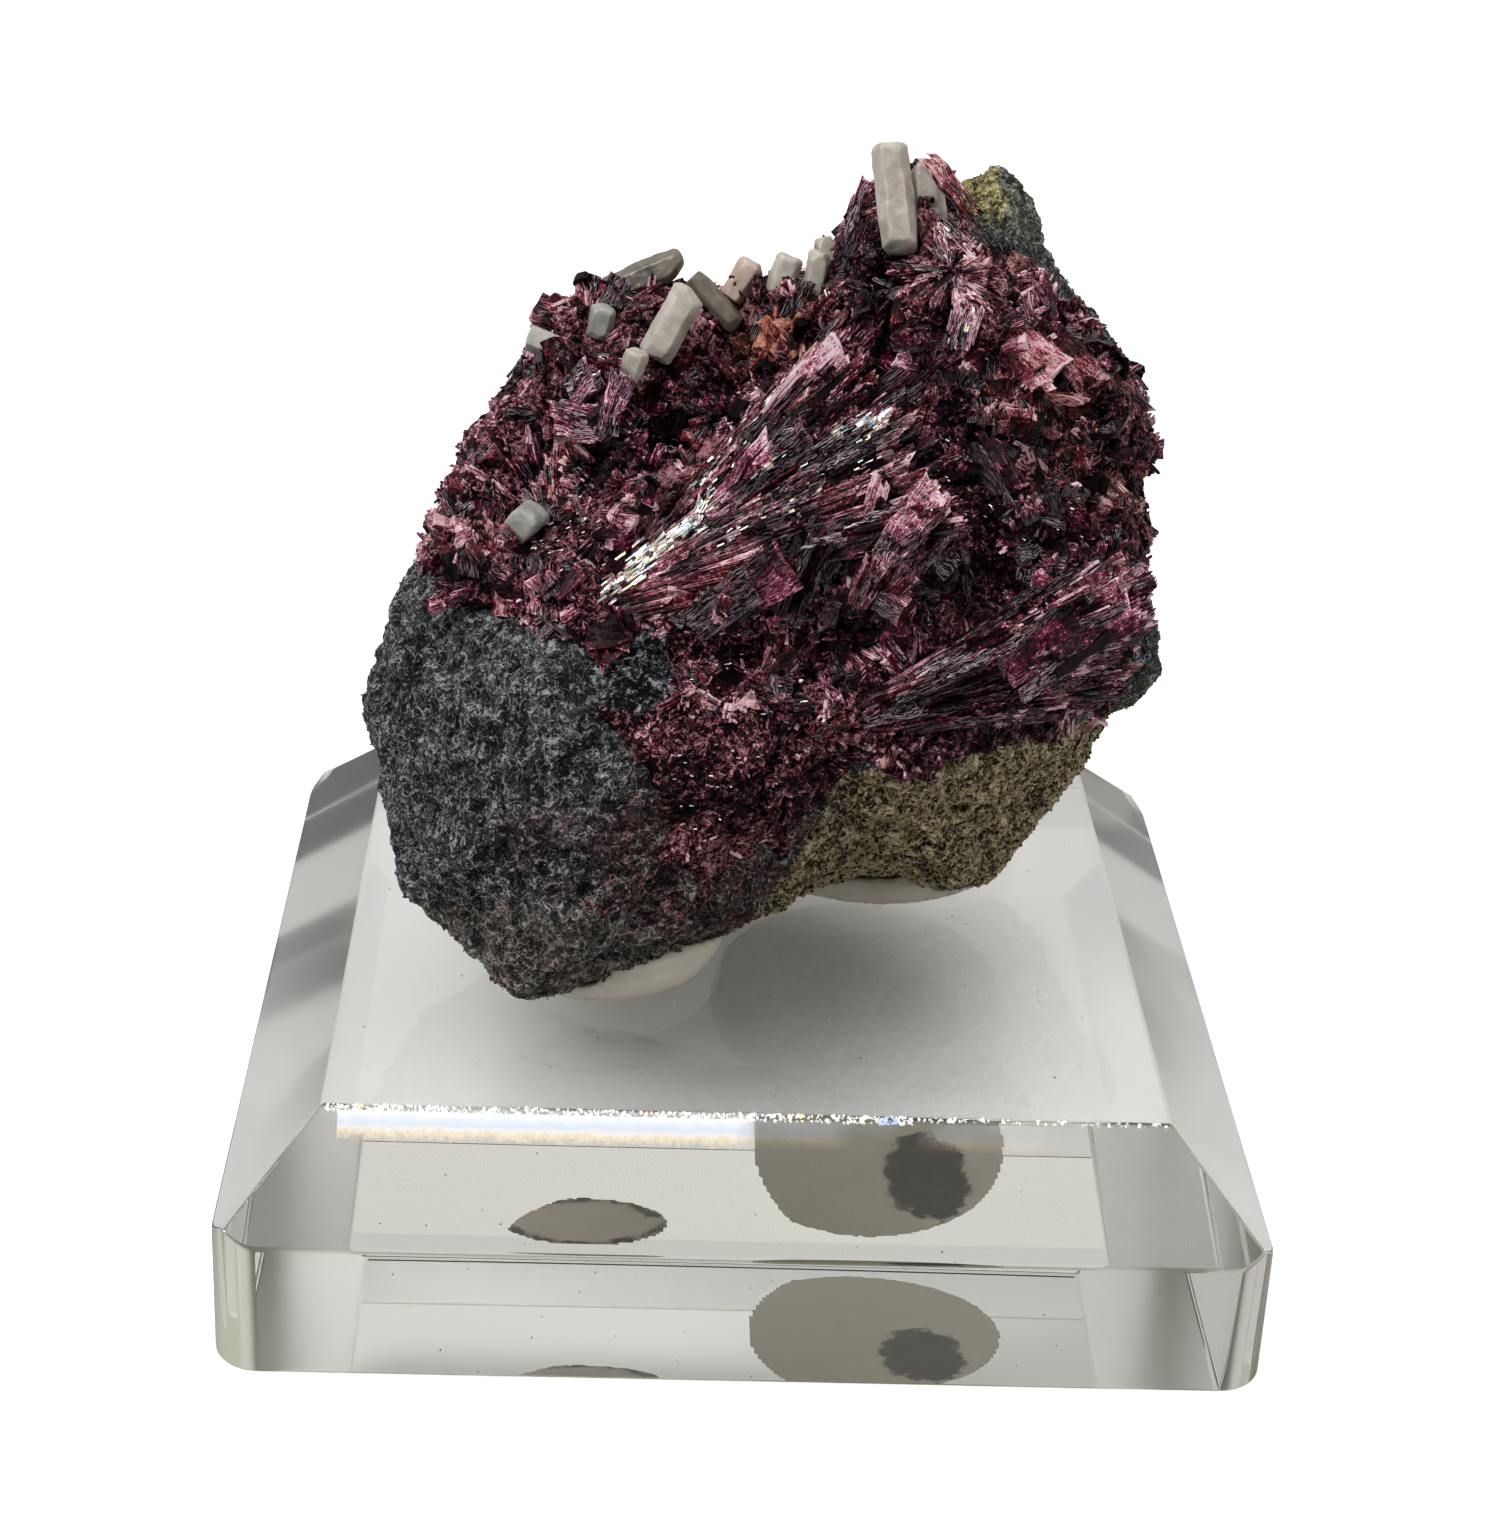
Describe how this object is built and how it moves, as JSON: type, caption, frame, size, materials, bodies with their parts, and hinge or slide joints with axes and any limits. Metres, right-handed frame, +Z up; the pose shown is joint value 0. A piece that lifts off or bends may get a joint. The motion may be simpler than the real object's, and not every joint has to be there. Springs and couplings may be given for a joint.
{
  "type": "erythrite specimen on display block",
  "caption": "Crimson bladed erythrite on dark host rock, held by putty pads on a clear square block with sloping top edges.",
  "frame": {"origin": "middle of the clear block's flat underside", "axes": "+Z up, -Y towards the viewer and the specimen's crystal face, +X to the viewer's right"},
  "size_m": [0.0508, 0.0508, 0.053],
  "materials": {
    "acrylic": "clear polished acrylic",
    "putty": "smooth off-white mounting putty",
    "host_rock": "rough dark grey to olive host rock",
    "erythrite": "pearly striated crimson blades",
    "pale_crystal": "waxy translucent off-white",
    "grey_crystal": "waxy translucent olive grey"
  },
  "bodies": {
    "root": {"acrylic_block": "acrylic", "putty_pad_front": "putty", "putty_pad_back": "putty", "matrix_rock": "host_rock", "erythrite_crystals": "erythrite", "pale_crystal_tall": "pale_crystal", "pale_crystal_block": "pale_crystal", "pale_crystal_tilted": "pale_crystal", "pale_crystal_stub": "pale_crystal", "grey_crystal_ridge": "grey_crystal", "grey_crystal_long": "grey_crystal", "pale_crystal_pink": "pale_crystal", "pale_crystal_left": "pale_crystal", "pale_crystal_right": "pale_crystal", "pale_crystal_cube": "pale_crystal", "grey_crystal_small": "grey_crystal"}
  },
  "joints": []
}
